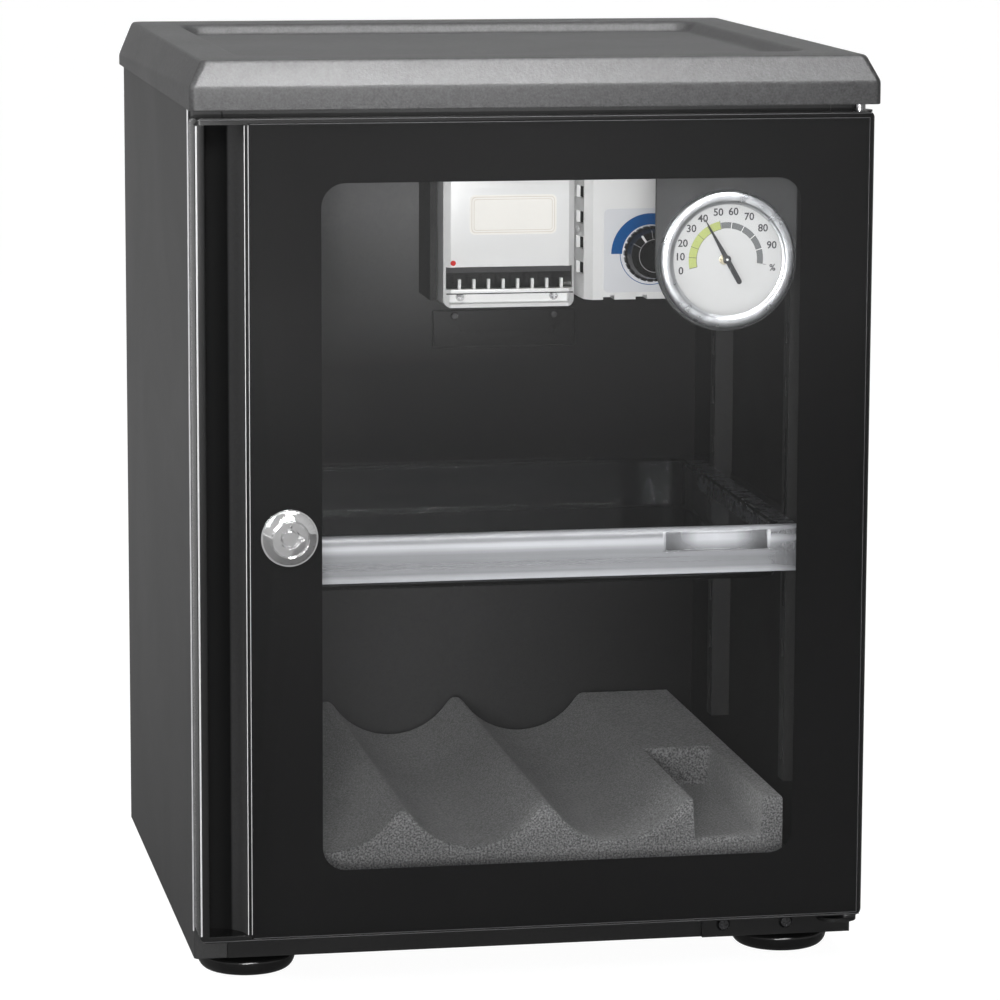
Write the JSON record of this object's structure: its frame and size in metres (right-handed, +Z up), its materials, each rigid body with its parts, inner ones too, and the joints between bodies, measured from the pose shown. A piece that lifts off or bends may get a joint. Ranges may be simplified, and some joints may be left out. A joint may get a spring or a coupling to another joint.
{
  "type": "camera dry cabinet",
  "caption": "Desktop dry cabinet with a glazed hinged door, cam lock, hygrometer, electronic drying unit, pull-out tray and foam lens bed.",
  "frame": {"origin": "middle of the footprint on the surface that the cabinet stands on", "axes": "+Z up, -Y out of the glazed door, +X towards the door's hinge"},
  "size_m": [0.3448, 0.343, 0.4652],
  "materials": {
    "body_paint": "fine-textured dark grey powder coat",
    "chamber_paint": "satin dark grey paint",
    "lid_plastic": "grained dark grey moulding",
    "foot_rubber": "glossy black moulded glide",
    "door_plastic": "satin black moulding",
    "black_plastic": "satin black moulding",
    "clear_glass": "clear toughened glass",
    "clear_plastic": "clear moulded acrylic",
    "border_print": "black enamel behind glass",
    "gasket_rubber": "soft grey-black magnetic gasket",
    "foam": "grey open-cell foam",
    "pale_plastic": "pale grey moulding",
    "drying_agent": "porous drying agent",
    "red_lens": "red lamp lens",
    "cream_label": "plain printed sheet",
    "grey_label": "plain printed sheet",
    "green_board": "moulded resistor body",
    "bright_chrome": "polished plating",
    "dial_enamel": "printed white dial",
    "grey_plastic": "dark grey moulding",
    "needle_paint": "dark slate paint",
    "zinc_steel": "zinc-plated steel"
  },
  "bodies": {
    "cabinet": {"side_panel_left": "body_paint", "side_panel_right": "body_paint", "back_panel": "body_paint", "bottom_pan": "body_paint", "top_deck": "body_paint", "inner_side_left": "chamber_paint", "inner_side_right": "chamber_paint", "inner_back": "chamber_paint", "inner_floor": "chamber_paint", "inner_ceiling": "chamber_paint", "top_cover": "lid_plastic", "feet": "foot_rubber", "foot_screws": "zinc_steel", "shelf_rails_left": "chamber_paint", "shelf_rails_right": "chamber_paint", "tray_runner_left": "zinc_steel", "tray_runner_right": "zinc_steel", "foam_insert": "foam", "dryer_bracket": "chamber_paint", "dryer_cover": "pale_plastic", "dryer_core": "drying_agent", "dryer_lamp": "red_lens", "dryer_label": "cream_label", "dryer_screws": "zinc_steel", "blanking_plate": "chamber_paint", "blanking_screws": "zinc_steel", "control_case": "pale_plastic", "control_overlay": "grey_label", "control_pot": "green_board", "power_inlet": "black_plastic", "rear_vent_cover": "black_plastic", "rear_vent_screws": "zinc_steel", "hinge_plate_top": "zinc_steel", "hinge_plate_bottom": "body_paint", "hinge_pins": "zinc_steel", "hinge_screws": "zinc_steel", "lock_keeper": "black_plastic"},
    "door": {"door_frame": "door_plastic", "grip_channel": "door_plastic", "door_glass": "clear_glass", "glass_border": "border_print", "door_gasket": "gasket_rubber", "hinge_bushes": "black_plastic", "lock_body": "bright_chrome", "lock_nut": "zinc_steel", "hygrometer_holder": "grey_plastic", "hygrometer_case": "grey_plastic", "hygrometer_bezel": "bright_chrome", "hygrometer_dial": "dial_enamel", "hygrometer_crystal": "clear_glass"},
    "lock_cylinder": {"lock_plug": "bright_chrome", "lock_cam": "zinc_steel", "lock_cam_screw": "zinc_steel"},
    "hygrometer_pointer": {"needle": "needle_paint"},
    "humidity_dial": {"control_knob": "black_plastic", "control_shaft": "zinc_steel"},
    "tray": {"shelf_tray": "clear_plastic"}
  },
  "joints": [
    {"name": "door_hinge", "type": "hinge", "parent": "cabinet", "child": "door", "pos_m": [0.165, -0.155, 0.227], "axis": [0, 0, 1], "range_deg": [0, 120]},
    {"name": "lock_turn", "type": "hinge", "parent": "door", "child": "lock_cylinder", "pos_m": [-0.1243, -0.158, 0.2307], "axis": [0, 1, 0], "range_deg": [0, 90]},
    {"name": "hygrometer_swing", "type": "hinge", "parent": "door", "child": "hygrometer_pointer", "pos_m": [0.0965, -0.158, 0.364], "axis": [0, 1, 0], "range_deg": [-73.8, 127.5]},
    {"name": "humidity_turn", "type": "hinge", "parent": "cabinet", "child": "humidity_dial", "pos_m": [0.1198, 0.112, 0.3362], "axis": [0, 1, 0], "range_deg": [-100, 170]},
    {"name": "tray_slide", "type": "slide", "parent": "cabinet", "child": "tray", "axis": [0, -1, 0], "range_m": [0, 0.0055]}
  ]
}
